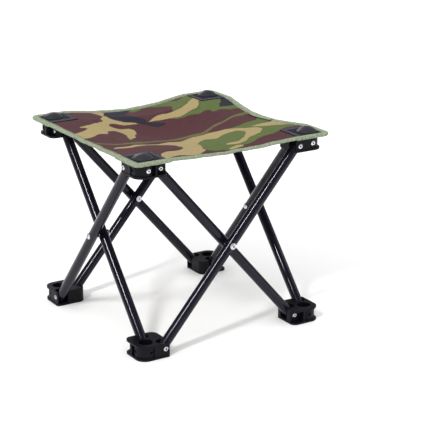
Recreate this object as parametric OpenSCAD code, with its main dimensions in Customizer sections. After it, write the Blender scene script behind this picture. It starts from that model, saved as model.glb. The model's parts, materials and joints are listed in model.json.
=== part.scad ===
// Four-legged folding camp stool: eight crossed tubes, corner brackets and a fabric seat.
// Millimetres. +Z up, the feet stand on z = 0, the origin is under the middle of the seat,
// and -Y is the front.

/* [Frame] */
// Distance between neighbouring seat buttons when the stool is open
button_spacing = 240; // [200:1:300]
// Height of the flat tops of the seat brackets
bracket_top = 254; // [220:0.5:320]
// Outside diameter of the leg tubes
tube_d = 13; // [10:0.5:16]
// Wall thickness of the leg tubes
tube_wall = 1; // [0.8:0.1:2]
// How far a tube runs past its end rivet
tube_end = 5; // [4:0.5:6]

/* [Brackets and feet] */
// Height of one corner moulding
mould_h = 19.5; // [18:0.5:26]
// Reach of a moulding outward from its button axis
mould_out = 15.75; // [15:0.25:20]
// Reach of a moulding inward from its button axis
mould_in = 27; // [24:0.5:32]
// Thickness of the end plates of a moulding
plate_t = 2.6; // [2:0.1:4]
// Distance from the button axis to the tube rivets
pin_reach = 20; // [18:0.5:24]
// Height of the tube rivets above the flat plate of a moulding
pin_z = 11.5; // [10:0.5:14]
// Distance of each tube's lane from the line between the button axes
lane = 7; // [6.8:0.1:9]
// Width of the slots that take the tube ends
slot_w = 14; // [13.6:0.1:16]
// Radius of the round socket at the button axis
socket_r = 9; // [8:0.5:10]

/* [Rivets] */
// Shaft diameter of the tube and cross rivets
rivet_d = 4; // [3:0.1:5]
// Diameter of the holes that turn on the rivets
rivet_hole_d = 4.1; // [3.1:0.05:5.2]
// Head diameter of the tube rivets
head_d = 6.2; // [6:0.1:8]
// Head height of the tube rivets
head_h = 1.1; // [0.8:0.1:2]
// Diameter of the washers on the cross rivets
washer_d = 8.2; // [8:0.1:12]
// Shaft diameter of the rivet that locks each button
lock_d = 3.4; // [3:0.1:4]
// Distance of that rivet from the flat plate of a bracket
lock_z = 10.2; // [9:0.1:12]

/* [Seat] */
// Reach of the seat's corners outward from the button axes
seat_over = 22.5; // [16:0.5:26]
// How far the middle of each edge is pulled in
edge_pull = 9.5; // [0:0.5:12]
// How far the middle of each edge hangs down
edge_sag = 6; // [0:0.5:12]
// How far the middle of the seat hangs down
seat_sag = 22; // [0:1:40]
// Thickness of the fabric
fabric_t = 0.8; // [0.5:0.1:1.5]
// Width of the binding tape
tape_w = 9; // [6:0.5:12]
// Side length of the corner patches
patch_w = 47; // [40:1:60]
// Diameter of the seat buttons
button_d = 26; // [18:0.5:27]
// Height of a button's dome
button_h = 6.6; // [3:0.1:8]

/* [Hidden] */
$fn = 48;
gap = 0.3;
half = button_spacing / 2;
foot_pin = pin_z;
top_pin = bracket_top - pin_z;
span = button_spacing - 2 * pin_reach;
rise = top_pin - foot_pin;
tube_len = sqrt(span * span + rise * rise);
lean = atan2(rise, span);
mid_z = (foot_pin + top_pin) / 2;
fabric_top = bracket_top + gap + fabric_t;
patch_z = gap + fabric_t;
patch_t = 0.8;
free_span = half - mould_in - 2.5;
edge_y = half + seat_over;
corner_far = 27.6;
tape_end = half - corner_far - 0.4;
SIDES = ["front", "right", "back", "left"];
CORNERS = ["front_left", "front_right", "back_right", "back_left"];

// How much of the full sag is reached at a distance t from the middle line
function swell(t) = abs(t) < free_span ? pow(1 - pow(t / free_span, 2), 1.3) : 0;
// Depth of the hanging fabric under its corners
function sag(x, y) = edge_sag * (swell(x) * (1 - swell(y)) + swell(y) * (1 - swell(x)))
    + seat_sag * swell(x) * swell(y);
// Distance of the front edge from the middle of the seat, at a place along it
function edge_at(x) = edge_y - edge_pull * (abs(x) < tape_end ? pow(1 - pow(x / tape_end, 2), 1.25) : 0);

// Places a piece drawn round the front left button axis at corner i
module at_corner(i) {
    rotate([0, 0, 90 * i]) translate([-half, -half, 0]) children();
}

// Turns a moulding over, so that its flat plate faces up
module turned_over() {
    translate([0, 0, bracket_top]) rotate(a = 180, v = [1, 1, 0]) children();
}

// Waste outside a rounded corner of radius r at (x, y); sx and sy point inward
module corner_waste(x, y, sx, sy, r, h) {
    difference() {
        translate([x + sx * (r - 1) / 2, y + sy * (r - 1) / 2, h / 2])
            cube([r + 1, r + 1, h + 2], center = true);
        translate([x + sx * r, y + sy * r, -2]) cylinder(r = r, h = h + 4);
    }
}

// Turns -Y to the front of the stool at a front corner and to its back at a back corner
module facing_out(i) {
    rotate([0, 0, -90 * (i % 2)]) children();
}

// A rivet along +Y with its head's underside at y = 0 and its shaft running inward
module rivet(d, len, hd, hh) {
    rotate([-90, 0, 0]) difference() {
        union() {
            cylinder(d = d, h = len);
            translate([0, 0, -hh * 0.4]) cylinder(d = hd, h = hh * 0.4);
            translate([0, 0, -hh]) cylinder(d1 = hd * 0.72, d2 = hd, h = hh * 0.6);
        }
        translate([0, 0, -hh - 1]) cylinder(d = d * 0.65, h = hh + 4);
    }
}

// The moulding of a foot, or with a shank hole in its flat plate, of a seat bracket
module moulding(shank_hole) {
    w = mould_out + mould_in;
    difference() {
        translate([-mould_out, -mould_out, 0]) cube([w, w, mould_h]);
        corner_waste(-mould_out, -mould_out, 1, 1, 13, mould_h);
        corner_waste(mould_in, -mould_out, -1, 1, 4, mould_h);
        corner_waste(-mould_out, mould_in, 1, -1, 8, mould_h);
        corner_waste(mould_in, mould_in, -1, -1, 10, mould_h);
        // waist between the plates, with one rib left standing
        translate([0, 0, plate_t]) {
            translate([-mould_out - 1, 11, 0]) cube([mould_out + 1 - 8, 20, mould_h - 2 * plate_t]);
            translate([4, -mould_out - 1, 0]) cube([24, 1.6, mould_h - 2 * plate_t]);
            difference() {
                translate([-mould_out - 1, -mould_out - 1, 0])
                    cube([mould_out + 5, mould_out + 9.6, mould_h - 2 * plate_t]);
                cylinder(r = 14.25, h = mould_h);
            }
        }
        // socket, and the hole for a button's shank
        translate([0, 0, plate_t]) cylinder(r = socket_r, h = mould_h);
        if (shank_hole) translate([0, 0, -1]) cylinder(d = 10.2, h = mould_h);
        // round-ended slots for the two tube ends
        translate([11 + slot_w / 2, -lane - slot_w / 2, plate_t]) cube([30, slot_w, mould_h]);
        translate([11 + slot_w / 2, -lane, plate_t]) cylinder(d = slot_w, h = mould_h);
        translate([lane - slot_w / 2, 11 + slot_w / 2, plate_t]) cube([slot_w, 30, mould_h]);
        translate([lane, 11 + slot_w / 2, plate_t]) cylinder(d = slot_w, h = mould_h);
        // rivet holes, blind in the inner post
        translate([pin_reach, -mould_out - 2, pin_z]) rotate([-90, 0, 0])
            cylinder(d = rivet_hole_d, h = mould_out + 2 + 7);
        translate([-mould_out - 2, pin_reach, pin_z]) rotate([0, 90, 0])
            cylinder(d = rivet_hole_d, h = mould_out + 2 + 21);
        // lock rivet holes, of which a seat bracket uses one and a foot none
        translate([-mould_out - 2, 0, lock_z]) rotate([0, 90, 0])
            cylinder(d = lock_d + 0.1, h = mould_out);
        translate([0, -mould_out - 2, lock_z]) rotate([-90, 0, 0])
            cylinder(d = lock_d + 0.1, h = mould_out);
    }
}

// The two tube rivets of a moulding, drawn where the moulding is drawn
module moulding_rivets() {
    translate([pin_reach, -mould_out + 0.6, pin_z]) rivet(rivet_d, mould_out - 0.6 + 6, head_d, head_h);
    translate([-8, pin_reach, pin_z]) rotate([0, 0, -90])
        rivet(rivet_d, 8 + 20, head_d, head_h);
}

module foot(i) {
    color([0.05, 0.05, 0.06]) at_corner(i) moulding(false);
}

module seat_bracket(i) {
    color([0.05, 0.05, 0.06]) at_corner(i) turned_over() moulding(true);
}

module foot_rivets(i) {
    color([0.8, 0.8, 0.82]) at_corner(i) moulding_rivets();
}

module bracket_rivets(i) {
    color([0.8, 0.8, 0.82]) at_corner(i) turned_over() moulding_rivets();
}

// A leg tube in the X-Z plane, rising from the origin at the given angle
module leg(angle) {
    rotate([0, -angle, 0]) difference() {
        translate([-tube_end, 0, 0]) rotate([0, 90, 0]) cylinder(d = tube_d, h = tube_len + 2 * tube_end);
        translate([-tube_end - 1, 0, 0]) rotate([0, 90, 0])
            cylinder(d = tube_d - 2 * tube_wall, h = tube_len + 2 * tube_end + 2);
        for (x = [0, tube_len / 2, tube_len]) translate([x, -tube_d, 0]) rotate([-90, 0, 0])
            cylinder(d = rivet_hole_d, h = 2 * tube_d);
    }
}

module outer_tube(i) {
    color([0.03, 0.03, 0.04]) at_corner(i) translate([pin_reach, -lane, foot_pin]) leg(lean);
}

module inner_tube(i) {
    color([0.03, 0.03, 0.04]) at_corner(i)
        translate([button_spacing - pin_reach, lane, foot_pin]) leg(180 - lean);
}

module cross_rivet(i) {
    out_face = lane + tube_d / 2;
    color([0.85, 0.85, 0.87]) at_corner(i) translate([half, 0, mid_z]) {
        translate([0, -out_face - 0.8, 0]) rivet(rivet_d, 2 * out_face + 0.8 + gap + 0.8, head_d, 1.3);
        translate([0, out_face + gap + 0.8, 0]) rotate([-90, 0, 0]) difference() {
            cylinder(d1 = 6.4, d2 = 5, h = 1);
            translate([0, 0, -0.01]) cylinder(d = 2, h = 2);
        }
    }
}

module cross_washers(i) {
    out_face = lane + tube_d / 2;
    in_face = lane - tube_d / 2;
    color([0.75, 0.75, 0.77]) at_corner(i) translate([half, 0, mid_z]) rotate([-90, 0, 0])
        for (z = [-out_face - 0.8, -in_face, out_face + gap]) translate([0, 0, z]) difference() {
            cylinder(d = washer_d, h = z == -in_face ? 2 * in_face - gap : 0.8);
            translate([0, 0, -1]) cylinder(d = rivet_hole_d, h = 3);
        }
}

// A thin sheet between two surfaces, given as rows of points of equal length
module sheet(top, bottom) {
    n = len(top[0]);
    m = len(top);
    flat = [each [for (row = top) each row], each [for (row = bottom) each row]];
    o = n * m;
    rim = [
        for (j = [0 : n - 2]) j,
        for (k = [0 : m - 2]) k * n + n - 1,
        for (j = [n - 1 : -1 : 1]) (m - 1) * n + j,
        for (k = [m - 1 : -1 : 1]) k * n
    ];
    polyhedron(flat, [
        for (k = [0 : m - 2], j = [0 : n - 2]) each [
            [k * n + j, (k + 1) * n + j, (k + 1) * n + j + 1],
            [k * n + j, (k + 1) * n + j + 1, k * n + j + 1]],
        for (k = [0 : m - 2], j = [0 : n - 2]) each [
            [o + k * n + j, o + (k + 1) * n + j + 1, o + (k + 1) * n + j],
            [o + k * n + j, o + k * n + j + 1, o + (k + 1) * n + j + 1]],
        for (a = [0 : len(rim) - 1]) let (p = rim[a], q = rim[(a + 1) % len(rim)]) each [
            [p, q, o + q],
            [p, o + q, o + p]]
    ]);
}

// One of the four triangular quarters of the fabric, between the diagonals
module seat_panel(i) {
    ns = 20;
    nr = 12;
    cut = 0.22;
    rows = [for (k = [0 : nr]) [for (j = [0 : ns])
        let (s = -1 + 2 * j / ns,
             far = edge_at(s * (edge_y - tape_w)) - tape_w - gap,
             r = 1 + (far - 1) * k / nr,
             x = s * (r - cut))
        [x, -r, fabric_top - sag(x, r)]]];
    color([0.42, 0.45, 0.3]) rotate([0, 0, 90 * i]) difference() {
        sheet(rows, [for (row = rows) [for (p = row) [p[0], p[1], p[2] - fabric_t]]]);
        for (x = [-half, half]) translate([x, -half, bracket_top - 4]) cylinder(d = 11.4, h = 10);
    }
}

// The tape folded round the free part of one edge
module edge_binding(i) {
    n = 26;
    ring = [[0, 0.9], [0, -fabric_t - 0.9], [tape_w + 2 * gap, -fabric_t - 0.9], [tape_w + 2 * gap, 0.9]];
    stations = [for (j = [0 : n]) let (x = -tape_end + 0.4 + (2 * tape_end - 0.8) * j / n)
        [for (c = ring) [x, -edge_at(x) + c[0], fabric_top + c[1] - sag(x, edge_at(x) - tape_w / 2)]]];
    color([0.62, 0.7, 0.55]) rotate([0, 0, 90 * i])
        polyhedron([for (s = stations) each s], [
            [3, 2, 1, 0],
            for (j = [0 : n - 1], c = [0 : 3]) let (a = 4 * j + c, b = 4 * j + (c + 1) % 4)
                each [[a, b, b + 4], [a, b + 4, a + 4]],
            [for (c = [0 : 3]) 4 * n + c]
        ]);
}

// The tape round a rounded corner of the seat
module corner_binding(i) {
    r = 8;
    h = fabric_top + patch_z - bracket_top;
    w = seat_over + corner_far;
    color([0.62, 0.7, 0.55]) at_corner(i) translate([0, 0, bracket_top]) difference() {
        translate([-seat_over, -seat_over, 0]) cube([w, w, h]);
        translate([-seat_over + tape_w, -seat_over + tape_w, -1]) cube([w, w, h + 2]);
        corner_waste(-seat_over, -seat_over, 1, 1, r, h);
    }
}

// The patch stitched over a corner of the fabric
module corner_patch(i) {
    n = 12;
    a0 = -seat_over + tape_w;
    rows = [for (k = [0 : n]) [for (j = [0 : n])
        let (u = a0 + (patch_w - tape_w) * j / n, v = a0 + (patch_w - tape_w) * (n - k) / n)
        [u, v, fabric_top + patch_z - sag(half - u, half - v)]]];
    color([0.06, 0.06, 0.07]) at_corner(i) difference() {
        sheet(rows, [for (row = rows) [for (p = row) [p[0], p[1], p[2] - patch_t]]]);
        translate([0, 0, bracket_top - 4]) cylinder(d = 10.2, h = 12);
    }
}

module seat_button(i) {
    z0 = fabric_top + patch_z;
    ball = (pow(button_d / 2, 2) + pow(button_h - 0.8, 2)) / (2 * (button_h - 0.8));
    color([0.08, 0.08, 0.1]) at_corner(i) difference() {
        union() {
            translate([0, 0, z0]) cylinder(d = button_d, h = 0.8);
            intersection() {
                translate([0, 0, z0 + 0.8]) cylinder(d = button_d, h = button_h);
                translate([0, 0, z0 + button_h - ball]) sphere(r = ball, $fn = 96);
            }
            translate([0, 0, bracket_top - 16]) cylinder(d = 10, h = 16 + z0 - bracket_top + 0.4);
        }
        facing_out(i) translate([0, -20, bracket_top - lock_z]) rotate([-90, 0, 0])
            cylinder(d = lock_d + 0.1, h = 18);
    }
}

// The rivet that holds a button's shank in its bracket, put in from the front or the back of the stool
module lock_rivet(i) {
    color([0.8, 0.8, 0.82]) at_corner(i) facing_out(i) translate([0, -14.25, bracket_top - lock_z])
        rivet(lock_d, 14.25 - 2.6, head_d, head_h);
}

foot(0);  // foot_front_left
foot(1);  // foot_front_right
foot(2);  // foot_back_right
foot(3);  // foot_back_left
seat_bracket(0);  // seat_bracket_front_left
seat_bracket(1);  // seat_bracket_front_right
seat_bracket(2);  // seat_bracket_back_right
seat_bracket(3);  // seat_bracket_back_left
outer_tube(0);  // outer_tube_front
outer_tube(1);  // outer_tube_right
outer_tube(2);  // outer_tube_back
outer_tube(3);  // outer_tube_left
inner_tube(0);  // inner_tube_front
inner_tube(1);  // inner_tube_right
inner_tube(2);  // inner_tube_back
inner_tube(3);  // inner_tube_left
foot_rivets(0);  // foot_rivets_front_left
foot_rivets(1);  // foot_rivets_front_right
foot_rivets(2);  // foot_rivets_back_right
foot_rivets(3);  // foot_rivets_back_left
bracket_rivets(0);  // bracket_rivets_front_left
bracket_rivets(1);  // bracket_rivets_front_right
bracket_rivets(2);  // bracket_rivets_back_right
bracket_rivets(3);  // bracket_rivets_back_left
cross_rivet(0);  // cross_rivet_front
cross_rivet(1);  // cross_rivet_right
cross_rivet(2);  // cross_rivet_back
cross_rivet(3);  // cross_rivet_left
cross_washers(0);  // cross_washers_front
cross_washers(1);  // cross_washers_right
cross_washers(2);  // cross_washers_back
cross_washers(3);  // cross_washers_left
seat_panel(0);  // seat_panel_front
seat_panel(1);  // seat_panel_right
seat_panel(2);  // seat_panel_back
seat_panel(3);  // seat_panel_left
edge_binding(0);  // edge_binding_front
edge_binding(1);  // edge_binding_right
edge_binding(2);  // edge_binding_back
edge_binding(3);  // edge_binding_left
corner_binding(0);  // corner_binding_front_left
corner_binding(1);  // corner_binding_front_right
corner_binding(2);  // corner_binding_back_right
corner_binding(3);  // corner_binding_back_left
corner_patch(0);  // corner_patch_front_left
corner_patch(1);  // corner_patch_front_right
corner_patch(2);  // corner_patch_back_right
corner_patch(3);  // corner_patch_back_left
seat_button(0);  // seat_button_front_left
seat_button(1);  // seat_button_front_right
seat_button(2);  // seat_button_back_right
seat_button(3);  // seat_button_back_left
lock_rivet(0);  // lock_rivet_front_left
lock_rivet(1);  // lock_rivet_front_right
lock_rivet(2);  // lock_rivet_back_right
lock_rivet(3);  // lock_rivet_back_left
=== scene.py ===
import json
import math

import bpy
import numpy as np
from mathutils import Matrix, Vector


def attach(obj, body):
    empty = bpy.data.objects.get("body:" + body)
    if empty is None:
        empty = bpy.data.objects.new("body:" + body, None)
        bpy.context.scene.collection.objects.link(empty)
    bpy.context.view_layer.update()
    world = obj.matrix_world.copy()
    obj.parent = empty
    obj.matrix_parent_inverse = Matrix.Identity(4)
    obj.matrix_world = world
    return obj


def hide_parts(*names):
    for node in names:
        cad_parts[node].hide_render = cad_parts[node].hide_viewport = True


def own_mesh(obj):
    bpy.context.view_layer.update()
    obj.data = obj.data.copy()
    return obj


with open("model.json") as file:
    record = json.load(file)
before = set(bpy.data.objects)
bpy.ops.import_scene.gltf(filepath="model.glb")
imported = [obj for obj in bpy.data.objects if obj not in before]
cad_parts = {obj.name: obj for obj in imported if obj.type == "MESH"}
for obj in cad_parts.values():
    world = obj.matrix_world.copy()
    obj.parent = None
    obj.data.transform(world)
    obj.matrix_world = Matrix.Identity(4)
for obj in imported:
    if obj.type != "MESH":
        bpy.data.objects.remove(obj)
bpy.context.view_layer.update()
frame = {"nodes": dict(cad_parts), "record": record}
NODES = frame["nodes"]

# ---------------------------------------------------------------- sizes, mm
MM = 0.001
HALF = 120.0            # seat button axis from the middle
FREE = 90.5             # half the span of cloth that hangs free
FABRIC_TOP = 255.1      # cloth's upper face over a bracket
FABRIC_T = 0.8
EDGE = 142.5            # seat edge from the middle, at the corners
EDGE_PULL = 9.5         # how far the middle of an edge is pulled in
EDGE_SAG = 6.0          # how far the middle of an edge hangs down
SEAT_SAG = 20.6         # and of the seat; the CAD's is 22, but its tips would cross when folded
TAPE_W = 9.0
TAPE_END = 92.2         # where an edge's tape meets the corner tape
OVERLAP = 0.05          # a corner's tape runs on this far past there
SEAM = 7.0              # tape's stitch line, in from the seat's edge
SEAM_RISE = 0.8         # and its height over the cloth
TAPE_STITCH = 3.3       # spacing of the stitches
PATCH_STITCH = 3.0
TIP = 0.05              # a panel's tip stops this far short of the middle
TUCK = 0.6              # the cloth runs on this far under an edge's tape
CORNER_INSET = 3.5      # inside a corner's tape it ends this far in from the seat's edge
CORNER_R = 9.5
PATCH_RISE = 1.1        # patch's upper face over the cloth's
PATCH_T = 0.8
PATCH_IN = -13.45       # patch's outer line, from the button axis
PATCH_W = 38.0
BUTTON_R = 13.0
SIDES = ["front", "right", "back", "left"]
CORNERS = ["front_left", "front_right", "back_right", "back_left"]


# ---------------------------------------------------------------- seat surface
def swell(t):
    """How much a line across the seat hangs at distance t from its middle: 1 there, 0 at the brackets."""
    return np.power(np.clip(1 - (t / FREE) ** 2, 0, None), 1.3)


def sag(x, y):
    a, b = swell(x), swell(y)
    return EDGE_SAG * (a * (1 - b) + b * (1 - a)) + SEAT_SAG * a * b


def edge_at(x):
    """Distance of the seat's edge from the middle, at a place along it."""
    return EDGE - EDGE_PULL * np.power(np.clip(1 - (x / TAPE_END) ** 2, 0, None), 1.25)


def smooth(t):
    t = np.clip(t, 0, 1)
    return t * t * (3 - 2 * t)


def wrinkles(x, y):
    """Low tension folds that run out of the corners, faded out at the tape and the patches."""
    total = np.zeros_like(x)
    for k, (cx, cy) in enumerate([(-HALF, -HALF), (HALF, -HALF), (HALF, HALF), (-HALF, HALF)]):
        dx, dy = (x - cx) * (-np.sign(cx)), (y - cy) * (-np.sign(cy))
        r = np.hypot(dx, dy)
        a = np.arctan2(dy, dx)
        fold = np.sin(17 * a + 1.3 * k + 0.9 * np.sin(5 * a + k)) + 0.6 * np.sin(29 * a + 2.1 * k)
        # they start 34 mm out of a corner and are gone by 160 mm
        total += 0.34 * fold * smooth((r - 34) / 40) * (1 - smooth((r - 70) / 90))
    total += 0.22 * np.sin(x / 19 + 1.1 * np.sin(y / 33)) * np.sin(y / 23 + 0.8 * np.sin(x / 27 + 1))
    edge = np.minimum(edge_at(x) - np.abs(y), edge_at(y) - np.abs(x))
    return total * smooth((edge - TAPE_W - 2) / 22)


def cloth_z(x, y):
    return FABRIC_TOP - sag(x, y) + wrinkles(x, y)


def cloth_normal(x, y):
    e = 0.2
    gx = (cloth_z(x + e, y) - cloth_z(x - e, y)) / (2 * e)
    gy = (cloth_z(x, y + e) - cloth_z(x, y - e)) / (2 * e)
    n = np.stack([-gx, -gy, np.ones_like(gx)], -1)
    return n / np.linalg.norm(n, axis=-1, keepdims=True)


# ---------------------------------------------------------------- the print, in seat coordinates, mm
TAN_LEFT = [(-131, 25), (-131, 47), (-122, 47), (-109, 48), (-99, 54), (-104, 59), (-112, 62), (-101, 68),
            (-89, 70), (-77, 76), (-67, 78), (-66, 87), (-59, 94), (-55, 103), (-54, 113), (-62, 127),
            (-64, 142), (-54, 138), (-41, 128), (-49, 115), (-51, 103), (-50, 90), (-43, 78), (-20, 68),
            (-25, 65), (-42, 67), (-59, 71), (-66, 67), (-65, 57), (-55, 54), (-42, 56), (-34, 50),
            (-37, 42), (-46, 34), (-52, 20), (-62, 7), (-69, 0), (-66, 10), (-62, 25), (-64, 40),
            (-72, 45), (-82, 39), (-90, 27), (-101, 28), (-115, 20)]
TAN_FRONT = [(-117, -42), (-100, -46), (-84, -41), (-70, -30), (-50, -20), (-32, -12), (-17, -5), (0, -7),
             (22, -3), (41, -3), (53, -10), (67, -20), (76, -34), (87, -50), (88, -62), (81, -76),
             (65, -87), (47, -96), (30, -105), (15, -102), (3, -100), (-10, -90), (-25, -110),
             (-35, -119), (-50, -126), (-75, -123), (-96, -134), (-96, -119), (-84, -104), (-70, -102),
             (-50, -96), (-41, -82), (-31, -62), (-22, -42), (-25, -27), (-40, -25), (-57, -29),
             (-70, -39), (-84, -51), (-94, -58), (-110, -53), (-120, -50)]
TAN_BACK = [(-9, 70), (8, 77), (15, 80), (30, 84), (50, 85), (62, 89), (75, 100), (85, 112), (98, 120),
            (101, 105), (90, 92), (80, 80), (67, 72), (50, 68), (35, 68), (18, 69)]
TAN_RIGHT = [(85, -39), (100, -41), (115, -36), (132, -30), (144, -26), (144, -60), (130, -68), (122, -62),
             (110, -60), (95, -53)]
TAN_CHIP = [(4, -113), (18, -108), (28, -112), (24, -121), (2, -120)]
GREEN_FRONT = [(25, -26), (15, -32), (2, -47), (-8, -67), (-15, -85), (-23, -102), (-21, -115), (-8, -118),
               (8, -113), (20, -110), (11, -100), (14, -96), (35, -93), (50, -83), (60, -67), (70, -55),
               (73, -40), (62, -31), (48, -32), (37, -40), (31, -32)]
GREEN_RIGHT = [(68, -18), (90, -22), (110, -15), (125, 0), (144, 12), (144, -84), (112, -83), (100, -94),
               (75, -100), (50, -106), (35, -112), (10, -118), (-8, -120), (10, -90), (50, -30)]
GREEN_BACK = [(-2, 142), (25, 142), (45, 142), (60, 142), (65, 122), (80, 127), (97, 142), (103, 118),
              (85, 112), (75, 100), (62, 89), (48, 84), (44, 87), (50, 97), (55, 105), (47, 110),
              (40, 117), (25, 122), (12, 120), (0, 113), (-10, 114), (-5, 125)]
GREEN_BAND = [(18, 68), (40, 64), (62, 59), (85, 62), (90, 50), (100, 55), (112, 45), (120, 52), (127, 45),
              (126, 35), (115, 22), (126, 18), (144, 30), (144, 100), (130, 104), (103, 104), (90, 92),
              (80, 80), (67, 71), (50, 68), (35, 68)]
BLACK_BACK = [(-41, 127), (-25, 137), (-2, 137), (-2, 125), (-10, 115), (-17, 110), (-20, 100), (-15, 88),
              (-5, 80), (-8, 71), (2, 66), (14, 61), (19, 56), (5, 53), (-6, 57), (-15, 66), (-22, 68),
              (-35, 76), (-44, 84), (-51, 95), (-50, 110), (-47, 118)]
BLACK_RIGHT = [(130, 102), (144, 112), (144, 69), (132, 66), (120, 62), (104, 61), (106, 68), (115, 80),
               (125, 92)]
OLIVE_LINE = [(-124, 0), (-113, -22), (-92, -31), (-76, -22), (-50, -2), (-12, 5), (25, 2), (46, 2),
              (70, 11), (100, 16), (122, 27)]


def rounded(points, rounds=2, closed=True):
    """The outline with its corners cut, over and over, until it runs smoothly."""
    p = np.array(points, float)
    for _ in range(rounds):
        q = np.roll(p, -1, 0)
        if closed:
            p = np.stack([0.75 * p + 0.25 * q, 0.25 * p + 0.75 * q], 1).reshape(-1, 2)
        else:
            a, b = p[:-1], p[1:]
            mid = np.stack([0.75 * a + 0.25 * b, 0.25 * a + 0.75 * b], 1).reshape(-1, 2)
            p = np.vstack([p[:1], mid, p[-1:]])
    return p


def line_distance(pts, line, closed):
    """Distance from each point to the nearest stretch of the line."""
    ends = np.roll(line, -1, 0) if closed else line[1:]
    best = np.full(len(pts), 1e9)
    for a, b in zip(line if closed else line[:-1], ends):
        d = b - a
        t = np.clip(((pts - a) @ d) / max(d @ d, 1e-9), 0, 1)
        best = np.minimum(best, np.linalg.norm(pts - a - t[:, None] * d, axis=1))
    return best


def inside(pts, poly):
    """Which points lie inside the outline."""
    hit = np.zeros(len(pts), bool)
    for a, b in zip(poly, np.roll(poly, -1, 0)):
        if a[1] != b[1]:
            across = (a[1] > pts[:, 1]) != (b[1] > pts[:, 1])
            x = (b[0] - a[0]) * (pts[:, 1] - a[1]) / (b[1] - a[1]) + a[0]
            hit ^= across & (pts[:, 0] < x)
    return hit


def blotch(pts, *outlines):
    """Signed distance into the nearest of the outlines, positive inside."""
    best = np.full(len(pts), -1e9)
    for outline in outlines:
        poly = rounded(outline)
        d = line_distance(pts, poly, True)
        best = np.maximum(best, np.where(inside(pts, poly), d, -d))
    return best


def print_layers(x, y):
    """How deep each point of the cloth lies in each ink, in mm; the base ink is maroon."""
    # slow waves keep the outlines from looking drawn
    wx = 1.1 * np.sin(y / 7.3 + 1) + 0.8 * np.sin((x + y) / 4.1)
    wy = 1.1 * np.sin(x / 6.7 + 2) + 0.8 * np.sin((x - y) / 4.7)
    pts = np.stack([x + wx, y + wy], -1)
    return {
        "olive": 3.6 + 0.9 * np.sin(x / 16) - line_distance(pts, rounded(OLIVE_LINE, 3, False), False),
        "green_under": blotch(pts, GREEN_RIGHT, GREEN_BACK, GREEN_BAND),
        "tan": blotch(pts, TAN_LEFT, TAN_FRONT, TAN_BACK, TAN_RIGHT, TAN_CHIP),
        "green_over": blotch(pts, GREEN_FRONT),
        "black": blotch(pts, BLACK_BACK, BLACK_RIGHT),
    }


# ---------------------------------------------------------------- mesh building
def turn(i, pts):
    """Turns points drawn for the front side, or its left corner, to side i."""
    p = np.array(pts, float)
    for _ in range(i):
        p = np.stack([-p[..., 1], p[..., 0], p[..., 2]], -1)
    return p


def make(name, verts, faces, material, uv=None, layers=None, normals=None):
    """A mesh object from points in mm. layers are values per point, such as the depths of the inks."""
    mesh = bpy.data.meshes.new(name)
    mesh.from_pydata((np.asarray(verts) * MM).tolist(), [], [list(map(int, f)) for f in faces])
    mesh.update()
    mesh.polygons.foreach_set("use_smooth", [True] * len(mesh.polygons))
    loops = np.zeros(len(mesh.loops), int)
    mesh.loops.foreach_get("vertex_index", loops)
    if uv is not None:
        mesh.uv_layers.new(name="cloth").data.foreach_set("uv", np.asarray(uv)[loops].ravel())
    for key, value in (layers or {}).items():
        mesh.attributes.new(key, "FLOAT", "POINT").data.foreach_set("value", np.asarray(value, np.float32))
    if normals is not None:
        mesh.normals_split_custom_set_from_vertices(np.asarray(normals).tolist())
    mesh.materials.append(material)
    obj = bpy.data.objects.new(name, mesh)
    bpy.context.scene.collection.objects.link(obj)
    return obj


def sheet_faces(m, n):
    """Faces of a closed sheet: m rows by n points on top, then the same below."""
    o = m * n
    k = np.arange((m - 1) * (n - 1))
    a = k // (n - 1) * n + k % (n - 1)
    top = np.stack([a, a + 1, a + n + 1, a + n], 1)
    rim = ([j for j in range(n - 1)] + [k * n + n - 1 for k in range(m - 1)]
           + [(m - 1) * n + j for j in range(n - 1, 0, -1)] + [k * n for k in range(m - 1, 0, -1)])
    sides = [(q, p, p + o, q + o) for p, q in zip(rim, rim[1:] + rim[:1])]
    return top.tolist() + (top[:, ::-1] + o).tolist() + sides


def sweep(path, inward, profile):
    """A closed profile carried along a path. profile(k) gives (distance inward, height) pairs at point k."""
    n, m = len(path), len(profile(0))
    verts, uv = [], []
    run = 0.0
    for k in range(n):
        run += float(np.linalg.norm(path[k] - path[max(k - 1, 0)]))
        for t, h in profile(k):
            verts.append([path[k][0] + inward[k][0] * t, path[k][1] + inward[k][1] * t, path[k][2] + h])
            uv.append([run / 10, (t + h) / 10])
    faces = [[k * m + c, (k + 1) * m + c, (k + 1) * m + (c + 1) % m, k * m + (c + 1) % m]
             for k in range(n - 1) for c in range(m)]
    faces += [list(range(m)), [(n - 1) * m + c for c in range(m - 1, -1, -1)]]
    return np.array(verts), faces, np.array(uv)


def thread(points, headings, length=2.3, width=0.7, rise=0.3):
    """Stitches: low rounded bars, each centred on a point and laid along its heading."""
    bar, quads = [], []
    ring = 6                # points round the bar
    for s, w in [(-1, 0.25), (-0.7, 0.9), (0, 1), (0.7, 0.9), (1, 0.25)]:
        for a in range(ring):
            c = 2 * math.pi * a / ring
            bar.append((s * length / 2, math.cos(c) * width / 2 * w, math.sin(c) * rise * w))
    for k in range(4):
        this, after = k * ring, (k + 1) * ring
        quads += [[this + a, this + (a + 1) % ring, after + (a + 1) % ring, after + a]
                  for a in range(ring)]
    quads += [list(range(ring))[::-1], list(range(after, after + ring))]
    bar = np.array(bar)
    verts, faces = [], []
    for p, h in zip(points, headings):
        h = np.array(h, float)
        h /= np.linalg.norm(h)
        side = np.array([-h[1], h[0], 0]) / max(math.hypot(h[0], h[1]), 1e-9)
        up = np.cross(h, side)
        faces += [[len(verts) + i for i in f] for f in quads]
        verts += (np.array(p) + bar[:, :1] * h + bar[:, 1:2] * side + bar[:, 2:] * up).tolist()
    return verts, faces


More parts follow.
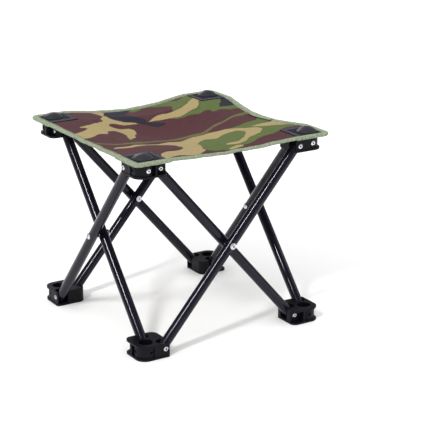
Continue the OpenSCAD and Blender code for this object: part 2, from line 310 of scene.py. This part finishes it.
# ---------------------------------------------------------------- materials
def srgb(r, g, b):
    """A screen colour, 0 to 255, as the linear colour that a shader takes."""
    return tuple(((c / 255 + 0.055) / 1.055) ** 2.4 if c > 10 else c / 255 / 12.92 for c in (r, g, b)) + (1,)


class Look:
    """A material: its Principled shader with fixed values, and short ways to add nodes to it."""

    def __init__(self, name, rough=0.5, coat=0.0, metallic=0.0, spec=0.5):
        self.mat = bpy.data.materials.new(name)
        self.mat.use_nodes = True
        self.t = self.mat.node_tree
        self.b = self.t.nodes["Principled BSDF"]
        for key, value in [("Roughness", rough), ("Coat Weight", coat), ("Metallic", metallic),
                           ("Specular IOR Level", spec)]:
            self.b.inputs[key].default_value = value

    def node(self, kind, inputs=None, **props):
        n = self.t.nodes.new(kind)
        for key, value in props.items():
            setattr(n, key, value)
        for key, value in (inputs or {}).items():
            if isinstance(value, bpy.types.NodeSocket):
                self.t.links.new(value, n.inputs[key])
            else:
                n.inputs[key].default_value = value
        return n

    def link(self, out, key):
        self.t.links.new(out, self.b.inputs[key])

    def mix(self, fac, a, b, blend="MIX"):
        n = self.node("ShaderNodeMix", {0: fac, 6: a, 7: b}, data_type="RGBA", blend_type=blend)
        return n.outputs[2]

    def ramp(self, value, low, high, to_low=0.0, to_high=1.0):
        n = self.node("ShaderNodeMapRange", {0: value, 1: low, 2: high, 3: to_low, 4: to_high})
        return n.outputs[0]

    def noise(self, scale, detail=3.0, vector=None):
        if vector is None:
            vector = self.node("ShaderNodeTexCoord").outputs["Object"]
        inputs = {"Vector": vector, "Scale": scale, "Detail": detail}
        return self.node("ShaderNodeTexNoise", inputs).outputs["Fac"]

    def math(self, op, a, b=0.0):
        return self.node("ShaderNodeMath", {0: a, 1: b}, operation=op).outputs[0]

    def bump(self, height, strength, distance, normal=None):
        n = self.node("ShaderNodeBump", {"Height": height, "Strength": strength, "Distance": distance})
        if normal is not None:
            self.t.links.new(normal, n.inputs["Normal"])
        self.link(n.outputs["Normal"], "Normal")


def weave_height(look, per_mm):
    """Over-and-under of a plain weave, laid out on the flat cloth (UV units are 10 mm)."""
    uv = look.node("ShaderNodeUVMap", uv_map="cloth").outputs["UV"]
    parts = look.node("ShaderNodeSeparateXYZ", {0: uv})
    turns = 2 * math.pi * 10 * per_mm
    a = look.math("SINE", look.math("MULTIPLY", parts.outputs[0], turns))
    b = look.math("SINE", look.math("MULTIPLY", parts.outputs[1], turns))
    return look.math("MULTIPLY", a, b), uv


def camo_look():
    k = Look("camouflage_cloth", rough=0.7, spec=0.1)
    weave, uv = weave_height(k, 0.9)
    wobble = k.math("MULTIPLY", k.math("SUBTRACT", k.noise(3.0, 4.0, uv), 0.5), 2.4)
    mottle = k.noise(1.3, 3.0, uv)
    inks = {"olive": (112, 104, 68), "green": (98, 114, 60), "tan": (182, 163, 114), "black": (42, 39, 54)}
    color = k.mix(mottle, srgb(80, 44, 50), srgb(96, 56, 61))
    for layer, ink in [("olive", "olive"), ("green_under", "green"), ("tan", "tan"), ("green_over", "green"),
                       ("black", "black")]:
        depth = k.node("ShaderNodeAttribute", attribute_name=layer).outputs["Fac"]
        depth = k.math("ADD", depth, wobble)
        fac = k.ramp(depth, -0.45, 0.45)
        r, g, b = inks[ink]
        shade = k.mix(mottle, srgb(r - 8, g - 7, b - 6), srgb(r + 8, g + 7, b + 6))
        color = k.mix(fac, color, shade)
        outline = k.ramp(k.math("ABSOLUTE", depth), 0.0, 0.9, 0.3, 0.0)
        color = k.mix(outline, color, srgb(58, 44, 38))
    # Painted light and shade in the weave: the cloth is lighter where its threads rise and darker where they
    # dip, then scaled by a random tone.
    weave_shade = k.ramp(weave, -1.0, 1.0, 0.60, 0.72)
    lit = k.math("MULTIPLY", weave_shade, k.ramp(k.noise(7.0, 2.0, uv), 0.3, 0.7, 0.9, 1.1))
    lit_color = k.node("ShaderNodeCombineColor", {0: lit, 1: lit, 2: lit}).outputs[0]
    k.link(k.mix(1.0, color, lit_color, "MULTIPLY"), "Base Color")
    k.bump(weave, 0.35, 0.00012)
    k.b.inputs["Sheen Weight"].default_value = 0.03
    return k.mat


def tape_look():
    k = Look("binding_tape", rough=0.85, spec=0.12)
    uv = k.node("ShaderNodeUVMap", uv_map="cloth").outputs["UV"]
    parts = k.node("ShaderNodeSeparateXYZ", {0: uv})
    ribs = k.math("SINE", k.math("MULTIPLY", parts.outputs[0], 2 * math.pi * 10 * 0.75))
    grain = k.noise(9.0, 4.0, uv)
    fleck = k.ramp(k.noise(3.2, 2.0, uv), 0.36, 0.64)
    color = k.mix(grain, srgb(108, 119, 96), srgb(144, 155, 130))
    color = k.mix(k.math("MULTIPLY", fleck, 0.7), color, srgb(170, 180, 156))
    k.link(k.mix(k.ramp(ribs, -1.0, 1.0, 0.0, 0.4), color, srgb(92, 104, 80)), "Base Color")
    k.bump(k.math("ADD", ribs, grain), 0.5, 0.00022)
    return k.mat


def dark_cloth_look():
    k = Look("patch_cloth", rough=0.75, spec=0.15)
    weave, uv = weave_height(k, 0.7)
    k.link(k.mix(k.noise(6.0, 3.0, uv), srgb(20, 19, 26), srgb(44, 43, 54)), "Base Color")
    k.bump(weave, 0.6, 0.0002)
    return k.mat


def thread_look(name, dark, pale):
    k = Look(name, rough=0.6, spec=0.3)
    k.link(k.mix(k.noise(700.0, 2.0), srgb(*dark), srgb(*pale)), "Base Color")
    return k.mat


def plastic_look():
    k = Look("moulded_plastic", rough=0.42, spec=0.13)
    k.link(k.mix(k.noise(60.0, 4.0), srgb(7, 6, 11), srgb(20, 18, 27)), "Base Color")
    k.link(k.ramp(k.noise(180.0, 3.0), 0.3, 0.7, 0.36, 0.52), "Roughness")
    edge = k.node("ShaderNodeBevel", {"Radius": 0.0007}, samples=4).outputs["Normal"]
    k.bump(k.noise(2600.0, 2.0), 0.12, 0.00006, edge)
    return k.mat


def paint_look():
    k = Look("tube_paint", rough=0.24, coat=0.4, spec=0.05)
    k.b.inputs["Coat Roughness"].default_value = 0.055
    k.link(k.mix(k.noise(25.0, 3.0), srgb(14, 11, 24), srgb(22, 18, 34)), "Base Color")
    k.link(k.ramp(k.noise(90.0, 5.0), 0.3, 0.75, 0.18, 0.28), "Roughness")
    k.bump(k.noise(110.0, 2.0), 0.012, 0.00008)
    return k.mat


def metal_look():
    k = Look("rivet_metal", rough=0.3, metallic=1.0)
    bright = k.mix(k.noise(300.0, 3.0), srgb(205, 205, 212), srgb(238, 238, 244))
    # Painted shade: the rivet's colour turns near black where the AO node finds it hemmed in, as down its
    # bore.
    bore_shade = k.node("ShaderNodeAmbientOcclusion", {"Distance": 0.003}, samples=8, only_local=True)
    k.link(k.mix(k.ramp(bore_shade.outputs["AO"], 0.45, 0.75), srgb(16, 16, 24), bright), "Base Color")
    k.link(k.ramp(k.noise(900.0, 3.0), 0.3, 0.7, 0.22, 0.42), "Roughness")
    return k.mat


def button_look():
    k = Look("button_plastic", rough=0.42, coat=0.35, spec=0.45)
    k.b.inputs["Coat Roughness"].default_value = 0.3
    k.link(k.mix(k.noise(70.0, 3.0), srgb(26, 26, 34), srgb(42, 41, 52)), "Base Color")
    k.link(k.ramp(k.noise(500.0, 4.0), 0.3, 0.7, 0.36, 0.48), "Roughness")
    return k.mat


CAMO, TAPE, PATCH = camo_look(), tape_look(), dark_cloth_look()
# The tape's thread is dark green, and is darkened further as painted shade for the shadow line along the
# tape's inner edge.
TAPE_THREAD_WITH_SEAM_SHADE = thread_look("tape_thread_with_seam_shade", (40, 50, 36), (70, 82, 60))
PATCH_THREAD = thread_look("patch_thread", (96, 96, 108), (150, 150, 162))
HARD = {"moulded_plastic": plastic_look(), "tube_paint": paint_look(), "rivet_metal": metal_look(),
        "button_plastic": button_look()}
for part in frame["record"]["subparts"]:
    if part["material_slot"] in HARD:
        mesh = NODES[part["node"]].data
        mesh.materials.clear()
        mesh.materials.append(HARD[part["material_slot"]])


# ---------------------------------------------------------------- seat cloth
def panel(i):
    """One quarter of the seat cloth, from the middle out to its edge's tape."""
    ns, nr = 124, 62        # steps along the edge, and from the middle out to it
    s = np.linspace(1, -1, ns + 1)
    along = s * (EDGE - TAPE_W)
    far = edge_at(along) - TAPE_W + TUCK
    far = np.where(np.abs(along) > TAPE_END, EDGE - CORNER_INSET, far)
    r = TIP + (far[None, :] - TIP) * (np.arange(nr + 1) / nr)[:, None]
    flat = turn(i, np.stack([s[None, :] * r, -r, np.zeros_like(r)], -1).reshape(-1, 3))
    x, y = flat[:, 0], flat[:, 1]
    top = np.stack([x, y, cloth_z(x, y)], -1)
    low = top - [0, 0, FABRIC_T]
    n = cloth_normal(x, y)
    uv = np.stack([x, y], -1) / 10
    ink = print_layers(x, y)
    return make(f"seat_cloth_{SIDES[i]}", np.vstack([top, low]), sheet_faces(nr + 1, ns + 1), CAMO,
                uv=np.vstack([uv, uv]), layers={k: np.tile(v, 2) for k, v in ink.items()},
                normals=np.vstack([n, -n]))


# Cross-section of the folded tape: (distance in from the seat's edge, height over the cloth)
TAPE_PROFILE = [(9.1, 0.0), (8.85, 0.66), (8.1, 0.88), (7.0, 0.7), (5.7, 1.1), (4.1, 1.55), (2.5, 1.65),
                (1.1, 1.25), (0.3, 0.5), (0.0, -0.4), (0.3, -1.35), (1.1, -2.0), (2.5, -2.3),
                (4.2, -2.2), (5.8, -1.85), (8.0, -1.75), (8.9, -1.5), (9.1, -0.85)]


def pucker(profile, at):
    """The tape's upper leaf rises and dips a little between stitches."""
    lift = 0.16 * math.sin(at * 1.9) + 0.10 * math.sin(at * 0.83 + 1)
    return [(t, h + (lift * min(t, TAPE_W - t) / (TAPE_W / 2) if h > 0.6 and t > 1 else 0))
            for t, h in profile]


def edge_tape(i):
    n = 150
    x = np.linspace(-TAPE_END, TAPE_END, n)
    ripple = swell(x) * (0.32 * np.sin(x / 8.3 + 2 * i) + 0.22 * np.sin(x / 4.1 + 5 * i))
    height = FABRIC_TOP - sag(x, edge_at(x) - TAPE_W / 2) + ripple
    path = np.stack([x, -edge_at(x) + 0.6 * ripple, height], -1)
    inward = np.tile([0.0, 1.0], (n, 1))
    tilt = 0.10 * swell(x)
    v, f, uv = sweep(path, inward, lambda k: [(t, h - tilt[k] * (t - TAPE_W / 2))
                                              for t, h in pucker(TAPE_PROFILE, x[k] + 31 * i)])
    tape = make(f"edge_tape_{SIDES[i]}", turn(i, v), f, TAPE, uv=uv)
    xs = np.arange(-TAPE_END + 2.2, TAPE_END - 1.5, TAPE_STITCH)
    line = np.stack([np.interp(xs, x, path[:, k]) for k in (1, 2)], -1)
    height = line[:, 1] + SEAM_RISE - (SEAM - TAPE_W / 2) * np.interp(xs, x, tilt)
    pts = np.stack([xs, line[:, 0] + SEAM, height], -1)
    v, f = thread(turn(i, pts), turn(i, np.gradient(pts, axis=0)))
    return tape, make(f"edge_stitches_{SIDES[i]}", v, f, TAPE_THREAD_WITH_SEAM_SHADE)


def tape_end():
    """The cut end of the tape, lapped over its own start on the right edge."""
    n, across, thick = 40, np.linspace(0, 9.6, 7), 0.45
    cut, start = 15, -29        # the loose end, and where the lap leaves the tape below it
    y = np.linspace(cut, start, n)
    lead = smooth((y - start) / (cut - start))
    out = edge_at(y) - 0.6 - 3.0 * lead
    rest = FABRIC_TOP - sag(edge_at(y) - TAPE_W / 2, y) + 1.0
    lift = 0.5 + 1.1 * smooth((y - 4) / 11)
    top = np.array([[out[k] - t, y[k], rest[k] + lift[k] + 0.12 * math.sin(y[k] * 0.9 + t)]
                    for k in range(n) for t in across])
    uv = np.array([[y[k] / 10, t / 10] for k in range(n) for t in across])
    v = np.vstack([top, top - [0, 0, thick]])
    return make("tape_end", v, sheet_faces(n, len(across)), TAPE, uv=np.vstack([uv, uv]))


def corner_path(step=1.0):
    """Outer line of the corner tape round the front left button axis, with its inward direction."""
    far, o, r = HALF - TAPE_END + OVERLAP, EDGE - HALF, CORNER_R
    pts, inward = [], []
    for u in np.arange(far, -o + r, -step):
        pts.append([u, -o])
        inward.append([0, 1])
    for a in np.linspace(0, math.pi / 2, 14):
        d = [-math.sin(a), -math.cos(a)]
        pts.append([-o + r + r * d[0], -o + r + r * d[1]])
        inward.append([-d[0], -d[1]])
    for v in np.arange(-o + r + step, far + 0.01, step):
        pts.append([-o, v])
        inward.append([1, 0])
    pts[-1] = [-o, far]
    return np.array(pts), np.array(inward)


def corner_tape(i):
    pts, inward = corner_path()
    path = np.stack([pts[:, 0] - HALF, pts[:, 1] - HALF, np.full(len(pts), FABRIC_TOP)], -1)
    # the outer roll is fuller here; the part over the bracket stays thin
    profile = [(min(t, 8.95), h * (1.45 if h < 0 else 1.2) if t < 5.9 else max(h, -1.1))
               for t, h in TAPE_PROFILE]
    v, f, uv = sweep(path, inward, lambda k: pucker(profile, k + 17 * i))
    tape = make(f"corner_tape_{CORNERS[i]}", turn(i, v), f, TAPE, uv=uv)
    pick = [k for k in range(3, len(pts) - 3, 3) if max(pts[k]) > -8]
    at = [[*(path[k][:2] + inward[k] * SEAM), FABRIC_TOP + SEAM_RISE] for k in pick]
    head = [[-inward[k][1], inward[k][0], 0] for k in pick]
    v, f = thread(turn(i, at), turn(i, head))
    return tape, make(f"corner_stitches_{CORNERS[i]}", v, f, TAPE_THREAD_WITH_SEAM_SHADE)


def patch(i):
    n = 34
    g = PATCH_IN + PATCH_W * np.arange(n + 1) / n
    u, v = np.meshgrid(g, g)
    x, y = (u - HALF).ravel(), (v - HALF).ravel()
    curl = 0.25 * smooth((np.maximum(u, v).ravel() - 22.5) / 2)
    z = FABRIC_TOP + PATCH_RISE - sag(x, y) - curl
    from_button = np.hypot(u.ravel(), v.ravel())
    z = np.where(from_button < BUTTON_R, FABRIC_TOP + PATCH_RISE - 0.05, z)
    top = np.stack([x, y, z], -1)
    low = top - [0, 0, PATCH_T - 0.12]
    uv = np.stack([u.ravel(), v.ravel()], -1) / 10
    cloth = make(f"patch_cloth_{CORNERS[i]}", turn(i, np.vstack([top, low])),
                 sheet_faces(n + 1, n + 1), PATCH, uv=np.vstack([uv, uv]))
    at, head = [], []
    far = PATCH_IN + PATCH_W
    for inset in (1.6, 4.4):        # two rows, in from the patch's two inner edges
        for t in np.arange(PATCH_IN + 1.5, far - inset - 0.5, PATCH_STITCH):
            for a, b, h in ((t, far - inset, (1, 0, 0)), (far - inset, t, (0, 1, 0))):
                droop = float(sag(np.array(a - HALF), np.array(b - HALF)))
                height = FABRIC_TOP + PATCH_RISE - droop - 0.02
                at.append([a - HALF, b - HALF, height - (0.12 if inset < 2 else 0)])
                head.append(h)
    verts, faces = thread(turn(i, at), turn(i, head), length=2.4, rise=0.28)
    return cloth, make(f"patch_stitches_{CORNERS[i]}", verts, faces, PATCH_THREAD)


for i, (side, corner) in enumerate(zip(SIDES, CORNERS)):
    cloth = panel(i)
    tape, stitches = edge_tape(i)
    pieces = [cloth, tape, stitches] + ([tape_end()] if side == "right" else [])
    for obj in pieces:
        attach(obj, f"seat_{side}")
        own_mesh(obj)
    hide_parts(f"seat_panel_{side}")
    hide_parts(f"edge_binding_{side}")

    tape, stitches = corner_tape(i)
    cloth, rows = patch(i)
    for obj in (tape, stitches, cloth, rows):
        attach(obj, f"bracket_{corner}")
    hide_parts(f"corner_binding_{corner}")
    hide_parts(f"corner_patch_{corner}")


# ---------------------------------------------------------------- floor, light and camera
def floor():
    mesh = bpy.data.meshes.new("floor")
    w = 30.0
    mesh.from_pydata([(-w, -w, 0), (w, -w, 0), (w, w, 0), (-w, w, 0)], [], [(0, 1, 2, 3)])
    k = Look("floor", rough=0.9, spec=0.05)
    k.link(k.mix(k.noise(2.0, 3.0), (0.90, 0.90, 0.90, 1), (0.93, 0.93, 0.93, 1)), "Base Color")
    mesh.materials.append(k.mat)
    obj = bpy.data.objects.new("floor", mesh)
    bpy.context.scene.collection.objects.link(obj)


def aim(obj, at, target):
    obj.location = at
    obj.rotation_euler = (Vector(target) - Vector(at)).to_track_quat("-Z", "Y").to_euler()
    bpy.context.scene.collection.objects.link(obj)


def lamp(name, at, target, size, power):
    data = bpy.data.lights.new(name, "AREA")
    data.shape = "RECTANGLE"
    data.size, data.size_y = size
    data.energy = power
    aim(bpy.data.objects.new(name, data), at, target)


def ceiling():
    """An even overhead glow that lights the cloth and the floor and leaves no glare on the gloss."""
    data = bpy.data.lights.new("ceiling", "SUN")
    data.energy = 2.5
    data.angle = math.radians(150)
    obj = bpy.data.objects.new("ceiling", data)
    obj.visible_glossy = False
    aim(obj, (0, 0, 3), (0, 0, 0))


def studio():
    world = bpy.data.worlds.new("studio")
    world.use_nodes = True
    world.node_tree.nodes["Background"].inputs["Color"].default_value = (1.0, 1.0, 1.0, 1)
    world.node_tree.nodes["Background"].inputs["Strength"].default_value = 0.30
    bpy.context.scene.world = world
    bpy.context.scene.view_settings.view_transform = "Standard"
    ceiling()
    lamp("key", (-4.59, -2.26, 4.91), (0, 0, 0.13), (0.45, 1.3), 230)
    lamp("side", (1.9, -0.7, 1.0), (0, 0, 0.15), (0.2, 0.9), 3)
    lamp("back", (0.3, 2.0, 1.2), (0, 0, 0.2), (1.0, 0.3), 5)


def camera():
    azimuth, elevation, distance = math.radians(-30.68), math.radians(17.9), 1.969
    target = Vector((0, 0, 0.1285))
    back = Vector((math.sin(azimuth) * math.cos(elevation), -math.cos(azimuth) * math.cos(elevation),
                   math.sin(elevation)))
    right = Vector((math.cos(azimuth), math.sin(azimuth), 0))
    up = back.cross(right)
    data = bpy.data.cameras.new("camera")
    data.lens, data.sensor_width = 119.4, 36.0
    data.clip_start, data.clip_end = 0.01, 50
    obj = bpy.data.objects.new("camera", data)
    obj.location = target + back * distance
    centre = target + right * 0.0604 - up * 0.0090      # the stool stands left of the picture's middle
    obj.rotation_mode = "QUATERNION"
    obj.rotation_quaternion = (centre - obj.location).to_track_quat("-Z", "Y")
    bpy.context.scene.collection.objects.link(obj)
    bpy.context.scene.camera = obj


floor()
studio()
camera()
